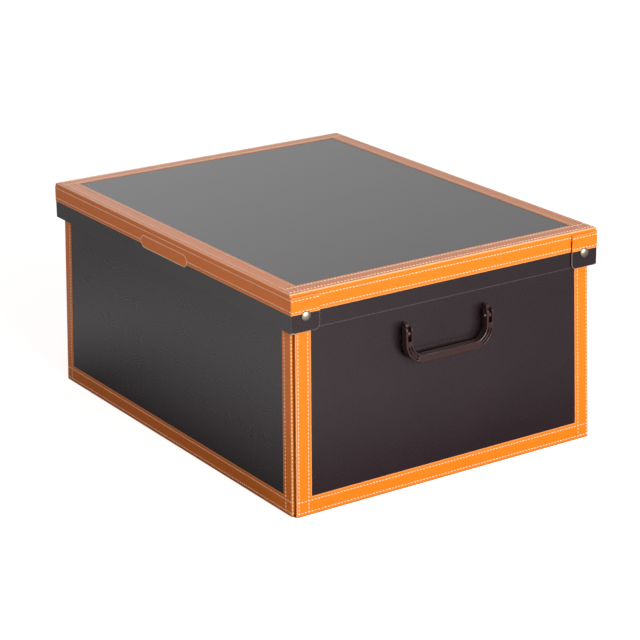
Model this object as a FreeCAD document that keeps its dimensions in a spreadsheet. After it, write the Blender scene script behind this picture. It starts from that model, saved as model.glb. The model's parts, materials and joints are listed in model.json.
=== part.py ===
import FreeCAD, Part
import math
import os

import Sketcher

# Lidded cardboard storage box with leather-look bands, press-studded lid corners and a swinging
# handle on each end. Millimetres, +Z up, origin in the middle of the footprint. The long sides
# face front (-Y) and back (+Y), the ends with the handles face right (+X) and left (-X).
# Every wall is a board cut flat and stood up, leaning inwards a little as it rises. A wall's own
# frame has x along the wall, y up its slope and z outwards, with z at 0 on the outer face.

SHEET = "Sizes"
SIZES = (
    ("box_length", 500, "over the outer faces of the lid's corner tabs"),
    ("box_width", 390, "over the outer faces of the lid's long skirts"),
    ("box_height", 240, "from the floor to the top of the lid"),
    ("board", 2, "thickness of the laminated board"),
    ("skirt_depth", 41.2, "from the lid's top to the lower edge of its skirts"),
    ("wall_lean", 1.2, "degrees that each body wall leans inwards"),
    ("end_gap", 1.2, "from an end wall to the lid's skirt, at the skirt's lower edge"),
    ("side_gap", 3.2, "from a long wall to the lid's skirt, at the skirt's lower edge"),
    ("fold_gap", 0.05, "between boards that meet at a fold or in a corner"),
    ("end_inset", 3, "from the body's corner to the edge of the outer end board"),
    ("end_hollow", 3, "between the outer end board and the corner flaps behind it"),
    ("insert_gap", 0.6, "round the loose board on the floor of the box"),
    ("end_skirt_step", 1.3, "that the end skirts end above the tabs"),
    ("fold_share", 0.6, "outside radius of an upright fold, as a share of the board"),
    ("lid_fold_share", 0.75, "outside radius of the lid's folds, as a share of the board"),
    ("skin", 0.35, "thickness of the leather-look bands"),
    ("band_width", 20, "width of the bands"),
    ("band_wrap", 5, "part of a long wall's upright bands that goes round the corner"),
    ("skirt_band_drop", 2, "from the lid's top to the upper edge of the skirts' bands"),
    ("tab_reach", 34, "length of a corner tab, from the corner"),
    ("tab_drop", 4, "from the lid's top to the top of a tab"),
    ("tab_corner", 6, "radius of the tabs' free corners"),
    ("tab_gap", 0.3, "between a tab and the end skirt's band"),
    ("stud_inset", 17.5, "from the lid's corner to a stud's axis"),
    ("stud_drop", 24.8, "from the lid's top to a stud's axis"),
    ("cap_radius", 5.5, "stud cap"),
    ("cap_height", 2.2, "stud cap, from its seat to the top of the dome"),
    ("cap_rim", 0.7, "height of the stud cap's rim"),
    ("cap_spigot", 2.6, "radius of the boss under the cap"),
    ("socket_radius", 3.2, "outside of the stud's socket, and its hole in the tab"),
    ("socket_bore", 2.4, "inside of the stud's socket, radius"),
    ("post_radius", 2, "stud's post, and its hole in the end skirt"),
    ("post_rise", 1.7, "that the post stands out of the end skirt"),
    ("washer_radius", 4.5, "washer behind the post"),
    ("washer_thickness", 0.6, "washer behind the post"),
    ("patch_length", 98, "bare patch on the front skirt"),
    ("patch_height", 14, "bare patch on the front skirt"),
    ("patch_drop", 11.5, "from the lid's top to the patch"),
    ("patch_skin", 0.4, "thickness of the patch"),
    ("handle_shift", 5, "that a handle hangs to one side of its end's middle"),
    ("handle_span", 112, "over the handle's two arms"),
    ("handle_arm", 8.8, "width of an arm and height of the grip"),
    ("handle_depth", 8.5, "thickness of the handle, outwards from the wall"),
    ("handle_stand", 4, "from the wall to the back of the handle"),
    ("handle_drop", 33.9, "from the pivot to the bottom of the grip"),
    ("handle_head", 7.7, "that the arms go on above the pivot"),
    ("head_radius", 4.2, "rounding of the arms' ends, to the front and to the back"),
    ("handle_edge", 1.1, "rounding along the handle's edges"),
    ("bend_radius", 23.5, "outside of the handle's bends"),
    ("pivot_drop", 67.5, "from the level of the lid's top down the wall to the handle's pivot"),
    ("fork_width", 4.2, "slot between the two prongs of an arm"),
    ("fork_drop", 7.9, "from the pivot to the bottom of that slot"),
    ("groove_width", 1.6, "the two curved grooves in each bend"),
    ("groove_spacing", 3.1, "between the middles of those two grooves"),
    ("groove_depth", 2, "those grooves"),
    ("groove_start", 10, "degrees below level at which those grooves begin, in each bend"),
    ("groove_angle", 54, "degrees of the bend that those grooves run"),
    ("pin_radius", 1.5, "pivot pin"),
    ("pin_clearance", 0.05, "radial, between a pin and its lug"),
    ("pin_recess", 0.3, "that a pin's end lies inside the arm's inner side"),
    ("pin_cover", 1.5, "from a pin's blind end to the arm's outer side"),
    ("lug_width", 3.6, "lug that carries the pin"),
    ("lug_radius", 3.3, "round nose of a lug, about the pin"),
    ("ear_rise", 7.1, "from the pivot up to the middle of a lug's round ear"),
    ("ear_stand", 4, "from the wall to the middle of that ear"),
    ("ear_radius", 3.9, "that ear"),
    ("heel_drop", 14, "from the pivot to the foot of a lug's heel, which the arm rests on"),
    ("lug_slot_gap", 0.4, "round a lug in the board's slot"),
    ("plate_length", 150, "plate that carries the two lugs"),
    ("plate_height", 28, "plate that carries the two lugs"),
    ("flap_gap", 12, "from that plate to the corner flaps beside it"),
)


class Size:
    """A length or an angle: its number now, and the expression that ties it to the sheet."""

    def __init__(self, number, words):
        self.number = float(number)
        self.words = words

    def __add__(self, other):
        other = as_size(other)
        return Size(self.number + other.number, f"({self.words} + {other.words})")

    def __sub__(self, other):
        other = as_size(other)
        return Size(self.number - other.number, f"({self.words} - {other.words})")

    def __mul__(self, other):
        other = as_size(other)
        return Size(self.number * other.number, f"({self.words} * {other.words})")

    def __truediv__(self, other):
        other = as_size(other)
        return Size(self.number / other.number, f"({self.words} / {other.words})")

    def __neg__(self):
        return Size(-self.number, f"(-1 * {self.words})")


def as_size(value):
    return value if isinstance(value, Size) else Size(value, str(value))


def sine(angle):
    return Size(math.sin(math.radians(angle.number)), f"sin({angle.words})")


def cosine(angle):
    return Size(math.cos(math.radians(angle.number)), f"cos({angle.words})")


def tangent(angle):
    return Size(math.tan(math.radians(angle.number)), f"tan({angle.words})")


def filled_sheet(doc):
    """The spreadsheet of driving sizes, and a Size for each of its names."""
    sheet = doc.addObject("Spreadsheet::Sheet", SHEET)
    named = {}
    for row, (name, number, meaning) in enumerate(SIZES, start=1):
        sheet.set(f"A{row}", name)
        sheet.set(f"B{row}", str(number))
        sheet.setAlias(f"B{row}", name)
        sheet.set(f"C{row}", meaning)
        named[name] = Size(number, f"{SHEET}.{name}")
    doc.recompute()
    return named


doc = FreeCAD.newDocument("storage_box")
of = filled_sheet(doc)
nodes = {}
ZERO = as_size(0)

# Sizes that follow from the driving ones
lean = of["wall_lean"]
board = of["board"]
lid_top = of["box_height"]
skirt_foot = lid_top - of["skirt_depth"]
tab_top = lid_top - of["tab_drop"]
half_length = of["box_length"] / 2 - board * 2 - of["end_gap"] + skirt_foot * tangent(lean)
half_width = of["box_width"] / 2 - board - of["side_gap"] + skirt_foot * tangent(lean)
flap_depth = board + of["end_hollow"]
inner_depth = flap_depth + of["fold_gap"] + board
end_depth = inner_depth + board
side_half = half_length - flap_depth
wall_foot = board * tangent(lean)
wall_top = (lid_top - board) / cosine(lean)
end_top = (lid_top - board * 2) / cosine(lean)
lid_half_length = of["box_length"] / 2 - board
lid_half_width = of["box_width"] / 2
fold_radius = board * of["fold_share"]
lid_fold_radius = board * of["lid_fold_share"]
lid_edge = lid_top - lid_fold_radius
band_foot = lid_top - of["skirt_band_drop"] - of["band_width"]
stud_across = lid_half_width - of["stud_inset"]
stud_height = lid_top - of["stud_drop"]
handle_middle = -of["handle_shift"]
arm_across = of["handle_span"] / 2 - of["handle_arm"] / 2
pivot = lid_top - of["pivot_drop"]
grip_foot = pivot - of["handle_drop"]
handle_front = of["handle_stand"] + of["handle_depth"]
pivot_stand = of["handle_stand"] + of["handle_depth"] / 2
ear_top = pivot + of["ear_rise"] + of["ear_radius"]

# Quarter turns about Z that take the front wall's frame to each wall
FRONT, RIGHT, BACK, LEFT = 0, 90, 180, 270
SIDE_WALLS = (("front", FRONT), ("back", BACK))
END_WALLS = (("right", RIGHT), ("left", LEFT))


def bind(thing, name, size):
    thing.setExpression(name, as_size(size).words)


def upright(turn, distance, tilt=ZERO):
    """Words for the placement of a wall's frame: its outer face at that distance from the middle."""
    swung = f"placement(vector(0; 0; 0); rotation(vector(0; 0; 1); {turn}))"
    stood = f"rotation(vector(1; 0; 0); 90 - {tilt.words})"
    return f"{swung} * placement(vector(0; -1 * {distance.words}; 0); {stood})"


def side_frame(turn):
    return upright(turn, half_width, lean)


def end_frame(turn):
    return upright(turn, half_length, lean)


def shifted(x, y, z, turned="rotation(vector(0; 0; 1); 0)"):
    return f"placement(vector({x.words}; {y.words}; {z.words}); {turned})"


def new_body(label, placement=None):
    body = doc.addObject("PartDesign::Body", label)
    body.Label = label
    if placement:
        body.setExpression("Placement", placement)
    nodes[label] = body
    return body


def new_sketch(body, label, plane="XY_Plane", rise=ZERO):
    """A sketch on one of the body's own planes, moved out of it by rise."""
    sketch = body.newObject("Sketcher::SketchObject", label)
    found = [f for f in body.Origin.OriginFeatures if f.Role == plane]
    sketch.AttachmentSupport = [(found[0], "")]
    sketch.MapMode = "FlatFace"
    bind(sketch, "AttachmentOffset.Base.z", rise)
    return sketch


def hold(sketch, kind, geometry, position, size):
    """One dimension of a sketch, bound to the sheet; along X or Y it is from the sketch's origin."""
    size = as_size(size)
    if kind == "Radius":
        rule = Sketcher.Constraint(kind, geometry, size.number)
    else:
        rule = Sketcher.Constraint(kind, -1, 1, geometry, position, size.number)
    index = sketch.addConstraint(rule)
    bind(sketch, f"Constraints[{index}]", size)


def outline(sketch, corners):
    """A closed outline of straight runs through the corners."""
    corners = [(as_size(x), as_size(y)) for x, y in corners]
    first = sketch.GeometryCount
    count = len(corners)
    spots = [FreeCAD.Vector(x.number, y.number, 0) for x, y in corners]
    for i in range(count):
        sketch.addGeometry(Part.LineSegment(spots[i], spots[(i + 1) % count]))
    for i in range(count):
        after = first + (i + 1) % count
        sketch.addConstraint(Sketcher.Constraint("Coincident", first + i, 2, after, 1))
    for i, (x, y) in enumerate(corners):
        hold(sketch, "DistanceX", first + i, 1, x)
        hold(sketch, "DistanceY", first + i, 1, y)


def rectangle(sketch, low_x, high_x, low_y, high_y):
    outline(sketch, [(low_x, low_y), (high_x, low_y), (high_x, high_y), (low_x, high_y)])


def circle(sketch, x, y, radius):
    middle = FreeCAD.Vector(x.number, y.number, 0)
    up = FreeCAD.Vector(0, 0, 1)
    index = sketch.addGeometry(Part.Circle(middle, up, radius.number))
    hold(sketch, "DistanceX", index, 3, x)
    hold(sketch, "DistanceY", index, 3, y)
    hold(sketch, "Radius", index, 0, radius)


def pad(body, sketch, length, backwards=False):
    feature = body.newObject("PartDesign::Pad", f"{sketch.Name}_pad")
    feature.Profile = sketch
    feature.Reversed = backwards
    bind(feature, "Length", length)
    return feature


def through_cut(body, sketch):
    """Cuts right through the body, both ways from the sketch, and checks that it took something."""
    doc.recompute()
    before = body.Tip.Shape.Volume
    feature = body.newObject("PartDesign::Pocket", f"{sketch.Name}_cut")
    feature.Profile = sketch
    feature.Type = "ThroughAll"
    feature.Midplane = True
    doc.recompute()
    if not feature.Shape.Volume < before:
        raise RuntimeError(f"{body.Label}: {sketch.Name} cuts nothing")
    return feature


def blind_cut(body, sketch, depth, backwards):
    """Cuts into the body to that depth, and checks that it took something."""
    doc.recompute()
    before = body.Tip.Shape.Volume
    feature = body.newObject("PartDesign::Pocket", f"{sketch.Name}_cut")
    feature.Profile = sketch
    feature.Reversed = backwards
    bind(feature, "Length", depth)
    doc.recompute()
    if not feature.Shape.Volume < before:
        raise RuntimeError(f"{body.Label}: {sketch.Name} cuts nothing")
    return feature


def rounded(body, base, label, radius, wanted):
    """Rounds the base's edges for which wanted(middle, run) holds, run being the edge's reach."""
    doc.recompute()
    names = []
    for i, edge in enumerate(base.Shape.Edges, start=1):
        first, last = edge.Vertexes[0].Point, edge.Vertexes[-1].Point
        if wanted((first + last) * 0.5, last - first):
            names.append(f"Edge{i}")
    if not names:
        raise RuntimeError(f"{body.Label}: {label} finds no edge")
    feature = body.newObject("PartDesign::Fillet", label)
    feature.Base = (base, names)
    bind(feature, "Radius", radius)
    return feature


def along(run, axis):
    """True for an edge that runs mostly along that axis, 0, 1 or 2."""
    return abs(run[axis]) > 0.9 * run.Length


def near(value, size):
    return abs(value - as_size(size).number) < 0.01


# Body of the box: floor, long walls and rolled-over ends

def sloping(half, y):
    """Half a wall's width at y up its slope, as the walls beside it lean in."""
    return half - y * sine(lean)


def wall_outline(sketch, half, low, high):
    """A wall's outline about its middle, narrowing as it rises."""
    right_low, right_high = sloping(half, low), sloping(half, high)
    outline(sketch, [(-right_low, low), (right_low, low), (right_high, high), (-right_high, high)])


def make_floor():
    """The floor of the folded body, and the loose board that lies on it."""
    body = new_body("base_panel")
    sketch = new_sketch(body, "base_outline")
    along_x = half_length - board - of["fold_gap"]
    along_y = half_width - board - of["fold_gap"]
    rectangle(sketch, -along_x, along_x, -along_y, along_y)
    pad(body, sketch, board)

    body = new_body("bottom_insert")
    sketch = new_sketch(body, "insert_outline", rise=board)
    along_x = half_length - end_depth - of["insert_gap"]
    along_y = half_width - board - of["insert_gap"]
    rectangle(sketch, -along_x, along_x, -along_y, along_y)
    pad(body, sketch, board)


def make_side_wall(side, turn):
    """A long wall, whose ends the corner flaps carry on round the corner."""
    body = new_body(f"{side}_side_panel", side_frame(turn))
    sketch = new_sketch(body, f"{side}_wall_outline")
    wall_outline(sketch, side_half, wall_foot, wall_top)
    wall = pad(body, sketch, board, backwards=True)
    rounded(
        body, wall, f"{side}_wall_folds", fold_radius,
        lambda middle, run: along(run, 1) and near(middle.z, 0),
    )


def make_wall_trim(label, frame, half, wrap, top, turns):
    """Bands round a wall's left, bottom and right edges. Each of the turns round the upright edges
    has its depth from the wall's face, its foot and its top."""
    body = new_body(label, frame)
    inner = half - of["band_width"] + wrap
    foot = wall_foot
    skin = of["skin"]
    sketch = new_sketch(body, f"{label}_bands")
    frame_outline(sketch, half + skin, inner, foot, foot + of["band_width"], top)
    pad(body, sketch, skin)
    for number, (depth, start, stop) in enumerate(turns, start=1):
        low, high = sloping(half, start), sloping(half, stop)
        corners = [(low, start), (low + skin, start), (high + skin, stop), (high, stop)]
        for name, sign in (("left", -1), ("right", 1)):
            sketch = new_sketch(body, f"{label}_{name}_turn_{number}")
            outline(sketch, [(x * sign, y) for x, y in corners])
            pad(body, sketch, depth, backwards=True)

    def at_corner(middle, run):
        return along(run, 1) and abs(middle.x) > inner.number

    folds = rounded(
        body, body.Tip, f"{label}_inner_folds", fold_radius,
        lambda middle, run: at_corner(middle, run) and near(middle.z, 0),
    )
    rounded(
        body, folds, f"{label}_folds", fold_radius + skin,
        lambda middle, run: at_corner(middle, run) and near(middle.z, skin),
    )


def frame_outline(sketch, outer, inner, foot, band_top, top):
    """A band up one edge, along the bottom and up the other edge, on a wall that narrows."""
    left = [(-sloping(inner, top), top), (-sloping(outer, top), top), (-sloping(outer, foot), foot)]
    right = [(sloping(outer, foot), foot), (sloping(outer, top), top), (sloping(inner, top), top)]
    corners = [(sloping(inner, band_top), band_top), (-sloping(inner, band_top), band_top)]
    outline(sketch, left + right + corners)


def make_end_wall(end, turn):
    """The outer board of an end with its slots for the lugs, the roll-over and the inner board."""
    body = new_body(f"{end}_end_outer_panel", end_frame(turn))
    sketch = new_sketch(body, f"{end}_outer_outline")
    wall_outline(sketch, half_width - of["end_inset"], wall_foot, end_top)
    slot_half = of["lug_width"] / 2 + of["lug_slot_gap"]
    slot_low = pivot - of["heel_drop"] - of["lug_slot_gap"]
    slot_high = ear_top + of["lug_slot_gap"]
    for sign in (-1, 1):
        slot = handle_middle + arm_across * sign
        rectangle(sketch, slot - slot_half, slot + slot_half, slot_low, slot_high)
    outer = pad(body, sketch, board, backwards=True)
    middle_of_edge = half_width - of["end_inset"] - board
    rounded(
        body, outer, f"{end}_outer_folds", fold_radius,
        lambda middle, run: along(run, 1) and near(middle.z, 0)
        and abs(middle.x) > sloping(middle_of_edge, end_top).number,
    )

    inside = half_width - board - of["fold_gap"]
    body = new_body(f"{end}_end_inner_panel", end_frame(turn))
    sketch = new_sketch(body, f"{end}_inner_outline", rise=-inner_depth)
    wall_outline(sketch, inside, above_floor(end_depth), end_top)
    pad(body, sketch, board, backwards=True)

    body = new_body(f"{end}_end_top_strip", end_frame(turn))
    sketch = new_sketch(body, f"{end}_strip_outline")
    wall_outline(sketch, inside, end_top, wall_top)
    strip = pad(body, sketch, end_depth, backwards=True)
    rounded(
        body, strip, f"{end}_strip_fold", fold_radius,
        lambda middle, run: along(run, 0) and near(middle.y, wall_top),
    )


def above_floor(depth):
    """How far up the slope a board stands, so that its corner at that depth clears the base."""
    return (board + depth * sine(lean)) / cosine(lean) + of["fold_gap"]


def make_corner_flap(label, end, turn, sign):
    """The end of a long wall, folded round the corner between the two boards of the end."""
    body = new_body(label, end_frame(turn))
    sketch = new_sketch(body, f"{label}_outline", rise=-flap_depth - of["fold_gap"])
    outside = half_width - board - of["fold_gap"]
    inside = handle_middle * sign + of["plate_length"] / 2 + of["flap_gap"]
    foot = above_floor(inner_depth)
    corners = [(inside, foot), (sloping(outside, foot), foot), (sloping(outside, end_top), end_top),
               (inside, end_top)]
    outline(sketch, [(x * sign, y) for x, y in corners])
    pad(body, sketch, board, backwards=True)


# Handles: plate with lugs inside the end, pins, and the bail that swings on them

def make_handle_plate(end, turn):
    """The moulded plate between an end's boards, with two lugs out through the slots."""
    body = new_body(f"{end}_handle_plate", end_frame(turn))
    sketch = new_sketch(body, f"{end}_plate_outline", rise=-board)
    half, rise = of["plate_length"] / 2, of["plate_height"] / 2
    rectangle(sketch, handle_middle - half, handle_middle + half, pivot - rise, pivot + rise)
    pad(body, sketch, board, backwards=True)
    for name, sign in (("near", -1), ("far", 1)):
        start = handle_middle + arm_across * sign - of["lug_width"] / 2
        make_lug(body, end, name, start)
    bore = new_sketch(body, f"{end}_lug_bore", "YZ_Plane", rise=handle_middle)
    circle(bore, pivot, pivot_stand, of["pin_radius"] + of["pin_clearance"])
    through_cut(body, bore)


def make_lug(body, end, name, start):
    """One lug: a heel that stops the arm, a nose about the pin and a round ear above it."""
    radius, ear_middle = of["lug_radius"], pivot + of["ear_rise"]
    ear_front = of["ear_stand"] + of["ear_radius"]
    for part, low, high, front in (
        ("heel", pivot - of["heel_drop"], pivot - radius, of["handle_stand"]),
        ("neck", pivot - radius, pivot + radius, pivot_stand),
        ("cheek", pivot + radius, ear_middle, ear_front),
        ("brow", ear_middle, ear_top, of["ear_stand"]),
    ):
        sketch = new_sketch(body, f"{end}_{name}_lug_{part}", "YZ_Plane", rise=start)
        rectangle(sketch, low, high, -board, front)
        pad(body, sketch, of["lug_width"])
    for part, height, stand, size in (
        ("nose", pivot, pivot_stand, radius),
        ("ear", ear_middle, of["ear_stand"], of["ear_radius"]),
    ):
        sketch = new_sketch(body, f"{end}_{name}_lug_{part}", "YZ_Plane", rise=start)
        circle(sketch, height, stand, size)
        pad(body, sketch, of["lug_width"])


def make_handle_pins(end, turn):
    """The two pins of a handle, each held in the prongs of one arm and put in from its inner side."""
    length = of["handle_arm"] - of["pin_recess"] - of["pin_cover"]
    middle = (of["pin_cover"] - of["pin_recess"]) / 2
    pins = []
    for name, sign in (("near", -1), ("far", 1)):
        pin = doc.addObject("Part::Cylinder", f"{end}_{name}_pin")
        bind(pin, "Radius", of["pin_radius"])
        bind(pin, "Height", length)
        start = handle_middle + (arm_across - middle) * sign - length / 2
        sideways = "rotation(vector(0; 1; 0); 90)"
        pin.setExpression("Placement", shifted(start, pivot, pivot_stand, sideways))
        pins.append(pin)
    group = doc.addObject("Part::Compound", f"{end}_handle_pins")
    group.Links = pins
    group.setExpression("Placement", end_frame(turn))
    nodes[group.Label] = group


def make_handle(end, turn):
    """The bail: a U with forked, rounded arm ends and grooved bends."""
    body = new_body(f"{end}_handle", end_frame(turn))
    outer, arm = of["handle_span"] / 2, of["handle_arm"]
    inner = outer - arm
    crown = pivot + of["handle_head"]
    sketch = new_sketch(body, f"{end}_bail_outline", rise=of["handle_stand"])
    corners = [(-outer, crown), (-outer, grip_foot), (outer, grip_foot), (outer, crown),
               (inner, crown), (inner, grip_foot + arm), (-inner, grip_foot + arm), (-inner, crown)]
    outline(sketch, [(handle_middle + x, y) for x, y in corners])
    bail = pad(body, sketch, of["handle_depth"])

    middle_x = handle_middle.number
    bend = rounded(
        body, bail, f"{end}_outer_bends", of["bend_radius"],
        lambda middle, run: along(run, 2) and near(middle.y, grip_foot),
    )
    bend = rounded(
        body, bend, f"{end}_inner_bends", of["bend_radius"] - arm,
        lambda middle, run: along(run, 2) and near(middle.y, grip_foot + arm),
    )
    head = rounded(
        body, bend, f"{end}_heads", of["head_radius"],
        lambda middle, run: along(run, 0) and near(middle.y, crown),
    )
    rounded(
        body, head, f"{end}_grip_edges", of["handle_edge"],
        lambda middle, run: along(run, 0)
        and middle.y < pivot.number
        and abs(middle.x - middle_x) < arm.number,
    )

    for name, sign in (("near", -1), ("far", 1)):
        side = handle_middle + arm_across * sign
        fork = new_sketch(body, f"{end}_{name}_fork")
        half = of["fork_width"] / 2
        above = crown + of["head_radius"]
        rectangle(fork, side - half, side + half, pivot - of["fork_drop"], above)
        through_cut(body, fork)
        bore = new_sketch(body, f"{end}_{name}_bore", "YZ_Plane", rise=side - arm / 2 * sign)
        circle(bore, pivot, pivot_stand, of["pin_radius"])
        blind_cut(body, bore, arm - of["pin_cover"], sign > 0)
        make_grooves(body, end, name, sign)


def make_grooves(body, end, name, sign):
    """Two curved grooves in the front of a bend, with a rib between them."""
    doc.recompute()
    before = body.Tip.Shape.Volume
    centre = handle_middle + (of["handle_span"] / 2 - of["bend_radius"]) * sign
    height = grip_foot + of["bend_radius"]
    sketch = new_sketch(body, f"{end}_{name}_grooves", "XZ_Plane")
    turned = f"rotation(vector(0; 1; 0); {(of['groove_start'] * -sign).words})"
    sketch.setExpression("AttachmentOffset", shifted(centre, ZERO, -height, turned))
    floor = handle_front - of["groove_depth"]
    above = handle_front + of["groove_depth"]
    for place in (-0.5, 0.5):
        radius = of["bend_radius"] - of["handle_arm"] / 2 + of["groove_spacing"] * place
        low, high = radius - of["groove_width"] / 2, radius + of["groove_width"] / 2
        rectangle(sketch, low * sign, high * sign, floor, above)
    groove = body.newObject("PartDesign::Groove", f"{end}_{name}_grooves_cut")
    groove.Profile = sketch
    groove.ReferenceAxis = (sketch, ["V_Axis"])
    groove.Reversed = sign > 0
    bind(groove, "Angle", of["groove_angle"])
    doc.recompute()
    if not groove.Shape.Volume < before:
        raise RuntimeError(f"{body.Label}: the {name} grooves cut nothing")


# Lid: top, skirts, bands, patch and stud posts

def lid_frame(turn, distance):
    return upright(turn, distance)


def make_lid_top():
    body = new_body("lid_top_panel")
    sketch = new_sketch(body, "lid_outline", rise=lid_top - board)
    rectangle(sketch, -lid_half_length, lid_half_length, -lid_half_width, lid_half_width)
    top = pad(body, sketch, board)
    rounded(
        body, top, "lid_folds", lid_fold_radius,
        lambda middle, run: near(middle.z, lid_top),
    )

    body = new_body("lid_top_trim")
    sketch = new_sketch(body, "lid_bands", rise=lid_top)
    across = lid_half_length - lid_fold_radius
    up = lid_half_width - lid_fold_radius
    rectangle(sketch, -across, across, -up, up)
    across = lid_half_length - of["band_width"]
    up = lid_half_width - of["band_width"]
    rectangle(sketch, -across, across, -up, up)
    pad(body, sketch, of["skin"])


def make_long_skirt(side, turn):
    """A long skirt: mitred at its ends, where the corner tabs fold, and lower there by the tabs' drop."""
    half = of["box_length"] / 2
    body = new_body(f"lid_{side}_skirt", lid_frame(turn, lid_half_width))
    lower = new_sketch(body, f"{side}_skirt_plan", "XZ_Plane", rise=-skirt_foot)
    corners = [(-half, ZERO), (half, ZERO), (half - board, -board), (-half + board, -board)]
    outline(lower, corners)
    pad(body, lower, of["skirt_depth"] - of["tab_drop"], backwards=True)
    upper = new_sketch(body, f"{side}_skirt_top_plan", "XZ_Plane", rise=-tab_top)
    rectangle(upper, -lid_half_length, lid_half_length, -board, ZERO)
    pad(body, upper, of["tab_drop"] - board, backwards=True)

    body = new_body(f"lid_{side}_trim", lid_frame(turn, lid_half_width))
    sketch = new_sketch(body, f"{side}_skirt_band")
    step = tab_top
    outline(sketch, [(-half, band_foot), (half, band_foot), (half, step), (lid_half_length, step),
                     (lid_half_length, lid_edge), (-lid_half_length, lid_edge),
                     (-lid_half_length, step), (-half, step)])
    pad(body, sketch, of["skin"])


def make_end_skirt(end, turn):
    """An end skirt, between the long skirts and behind the tabs, with the holes of two posts."""
    half = lid_half_width - board - of["fold_gap"]
    body = new_body(f"lid_{end}_skirt", lid_frame(turn, lid_half_length))
    sketch = new_sketch(body, f"{end}_skirt_outline")
    rectangle(sketch, -half, half, skirt_foot + of["end_skirt_step"], lid_top - board)
    for sign in (-1, 1):
        circle(sketch, stud_across * sign, stud_height, of["post_radius"])
    pad(body, sketch, board, backwards=True)

    body = new_body(f"lid_{end}_trim", lid_frame(turn, lid_half_length))
    sketch = new_sketch(body, f"{end}_skirt_band")
    between = lid_half_width - of["tab_reach"] - of["tab_gap"]
    step = tab_top + of["tab_gap"]
    outline(sketch, [(-between, band_foot), (between, band_foot), (between, step),
                     (lid_half_width, step), (lid_half_width, lid_edge), (-lid_half_width, lid_edge),
                     (-lid_half_width, step), (-between, step)])
    pad(body, sketch, of["skin"])


def make_patch():
    """The bare pill-shaped patch on the front skirt."""
    body = new_body("label_patch", lid_frame(FRONT, lid_half_width))
    radius = of["patch_height"] / 2
    height = lid_top - of["patch_drop"] - radius
    straight = of["patch_length"] / 2 - radius
    sketch = new_sketch(body, "patch_middle", rise=of["skin"])
    rectangle(sketch, -straight, straight, height - radius, height + radius)
    pad(body, sketch, of["patch_skin"])
    for name, sign in (("left", -1), ("right", 1)):
        sketch = new_sketch(body, f"patch_{name}_end", rise=of["skin"])
        circle(sketch, straight * sign, height, radius)
        pad(body, sketch, of["patch_skin"])


def make_stud_posts():
    """Four posts riveted through the end skirts, each with its washer inside."""
    posts = []
    for end, turn in END_WALLS:
        for name, sign in (("near", -1), ("far", 1)):
            shank = doc.addObject("Part::Cylinder", f"{end}_{name}_post")
            bind(shank, "Radius", of["post_radius"])
            bind(shank, "Height", board + of["post_rise"])
            place = lid_frame(turn, lid_half_length) + " * "
            foot = shifted(stud_across * sign, stud_height, -board)
            shank.setExpression("Placement", place + foot)
            washer = doc.addObject("Part::Cylinder", f"{end}_{name}_washer")
            bind(washer, "Radius", of["washer_radius"])
            bind(washer, "Height", of["washer_thickness"])
            foot = shifted(stud_across * sign, stud_height, -board - of["washer_thickness"])
            washer.setExpression("Placement", place + foot)
            post = doc.addObject("Part::Fuse", f"{end}_{name}_stud_post")
            post.Base = shank
            post.Tool = washer
            posts.append(post)
    group = doc.addObject("Part::Compound", "lid_stud_posts")
    group.Links = posts
    nodes[group.Label] = group


# Corner tabs of the lid, each with its band, stud cap and socket

def make_tab(label, turn, sign):
    """A tab folded round from a long skirt, at the end's corner on that side of its frame."""
    frame = lid_frame(turn, of["box_length"] / 2)
    corner = lid_half_width
    free = corner - of["tab_reach"]
    body = new_body(f"{label}_board", frame)
    plan = new_sketch(body, f"{label}_plan", "XZ_Plane", rise=-skirt_foot)
    corners = [(corner, ZERO), (free, ZERO), (free, -board), (corner - board, -board)]
    outline(plan, [(x * sign, z) for x, z in corners])
    tab = pad(body, plan, of["skirt_depth"] - of["tab_drop"], backwards=True)
    rounded(
        body, tab, f"{label}_corners", of["tab_corner"],
        lambda middle, run: along(run, 2) and near(abs(middle.x), free),
    )
    hole = new_sketch(body, f"{label}_stud_hole")
    circle(hole, stud_across * sign, stud_height, of["socket_radius"])
    through_cut(body, hole)

    body = new_body(f"{label}_trim", frame)
    sketch = new_sketch(body, f"{label}_band")
    corners = [(corner, band_foot), (free, band_foot), (free, tab_top), (corner, tab_top)]
    outline(sketch, [(x * sign, y) for x, y in corners])
    band = pad(body, sketch, of["skin"])
    rounded(
        body, band, f"{label}_band_corner", of["tab_corner"],
        lambda middle, run: along(run, 2) and near(abs(middle.x), free) and near(middle.y, tab_top),
    )


def make_stud(label, turn, sign):
    """The domed cap outside a tab, and the socket behind it that grips the post."""
    place = upright(turn, of["box_length"] / 2) + " * "
    body = new_body(f"{label}_stud_socket", place + shifted(stud_across * sign, stud_height, ZERO))
    sketch = new_sketch(body, f"{label}_socket_ring")
    circle(sketch, ZERO, ZERO, of["socket_radius"])
    circle(sketch, ZERO, ZERO, of["socket_bore"])
    pad(body, sketch, board, backwards=True)

    seat = shifted(stud_across * sign, stud_height, of["skin"])
    body = new_body(f"{label}_stud_cap", place + seat)
    sketch = new_sketch(body, f"{label}_cap_profile", "XZ_Plane")
    cap_profile(sketch)
    cap = body.newObject("PartDesign::Revolution", f"{label}_cap_turned")
    cap.Profile = sketch
    cap.ReferenceAxis = (sketch, ["V_Axis"])
    cap.Angle = 360


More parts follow.
